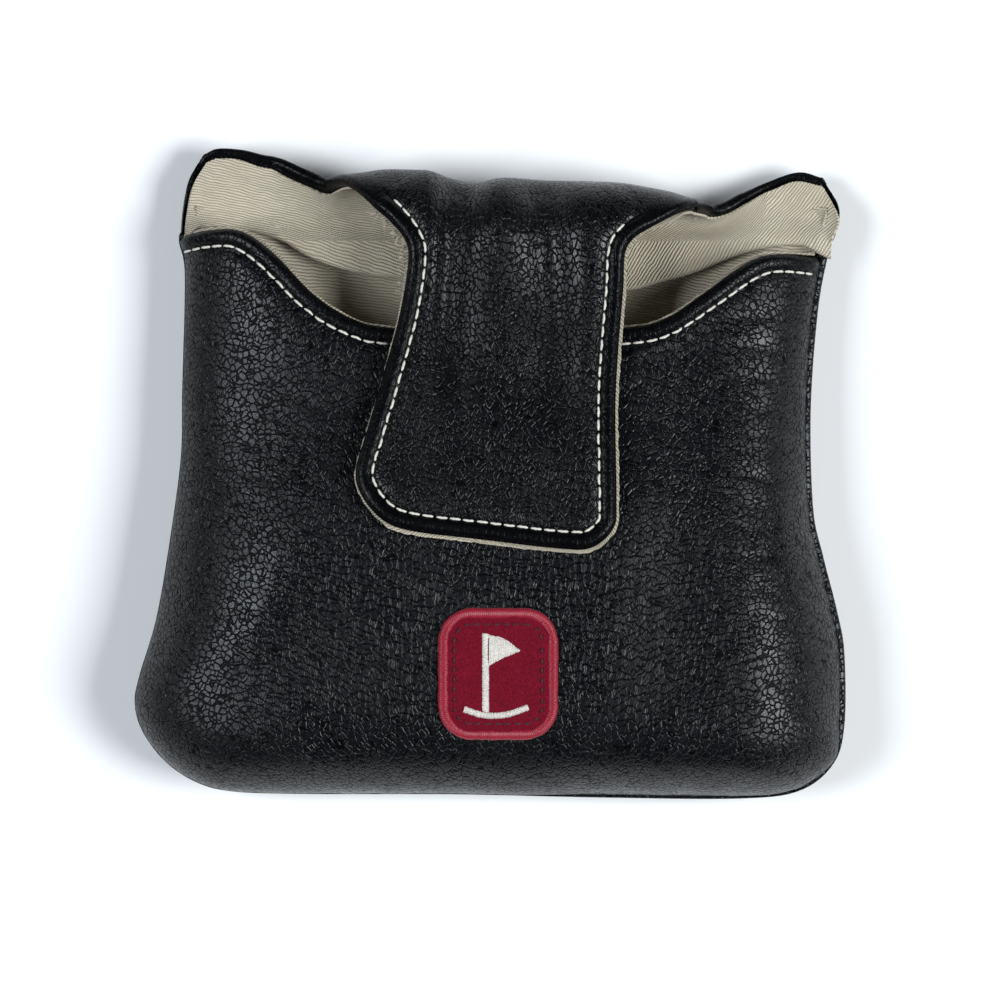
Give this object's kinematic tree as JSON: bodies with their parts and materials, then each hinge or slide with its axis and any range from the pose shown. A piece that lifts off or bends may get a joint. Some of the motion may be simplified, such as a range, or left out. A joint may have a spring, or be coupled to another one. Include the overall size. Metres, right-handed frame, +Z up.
{
  "type": "putter head cover",
  "caption": "Padded leather mallet putter cover: a lined pouch with a wide mouth between two ears, closed by a fold-over magnetic tongue flap.",
  "frame": {"origin": "on the table, under the middle of the cover's overall box", "axes": "+Z up from the table the cover lies on (its back panel down), +X to the right seen from above, +Y towards the mouth, ears and fold"},
  "size_m": [0.1496, 0.1377, 0.0368],
  "materials": {
    "black_pebbled_leather": "soft sheen, pebbled grain",
    "black_flap_leather": "soft sheen, finer grain",
    "grey_foam": "matt foam",
    "beige_cotton_twill": "matt twill weave",
    "off_white_thread": "waxed thread",
    "dark_red_thread": "thread",
    "black_thread": "thread",
    "crimson_felt": "matt felt",
    "red_embroidery": "satin embroidery",
    "white_embroidery": "satin embroidery",
    "nickel_magnet": "nickel plating"
  },
  "bodies": {
    "pouch": {"front_panel_leather": "black_pebbled_leather", "front_panel_foam": "grey_foam", "front_pocket_lining": "beige_cotton_twill", "back_panel_leather": "black_pebbled_leather", "back_panel_foam": "grey_foam", "back_pocket_lining": "beige_cotton_twill", "side_seam_thread": "black_thread", "lining_seam_thread": "off_white_thread", "mouth_topstitch": "off_white_thread", "front_magnet_left": "nickel_magnet", "front_magnet_right": "nickel_magnet", "patch_border": "red_embroidery", "patch_felt": "crimson_felt", "patch_tack_stitch": "dark_red_thread", "patch_flag_motif": "white_embroidery"},
    "fold_lower": {"fold_lower_leather": "black_pebbled_leather", "fold_lower_lining": "beige_cotton_twill"},
    "fold_upper": {"fold_upper_leather": "black_pebbled_leather", "fold_upper_lining": "beige_cotton_twill"},
    "flap": {"flap_leather": "black_flap_leather", "flap_foam": "grey_foam", "flap_lining": "beige_cotton_twill", "flap_topstitch": "off_white_thread", "flap_magnet_left": "nickel_magnet", "flap_magnet_right": "nickel_magnet"}
  },
  "joints": [
    {"name": "flap_opening", "type": "hinge", "parent": "pouch", "child": "fold_lower", "pos_m": [0.003, 0.0553, 0.00523], "axis": [-1, 0, 0], "range_deg": [0, 58]},
    {"name": "fold_crest", "type": "hinge", "parent": "fold_lower", "child": "fold_upper", "pos_m": [0.003, 0.0614, 0.0158], "axis": [-1, 0, 0], "range_deg": [0, 58]},
    {"name": "flap_root", "type": "hinge", "parent": "fold_upper", "child": "flap", "pos_m": [0.003, 0.0553, 0.02637], "axis": [-1, 0, 0], "range_deg": [0, 58]}
  ],
  "couplings": [
    {"joint": "fold_crest", "follows": "flap_opening", "ratio": 1},
    {"joint": "flap_root", "follows": "flap_opening", "ratio": 1}
  ]
}
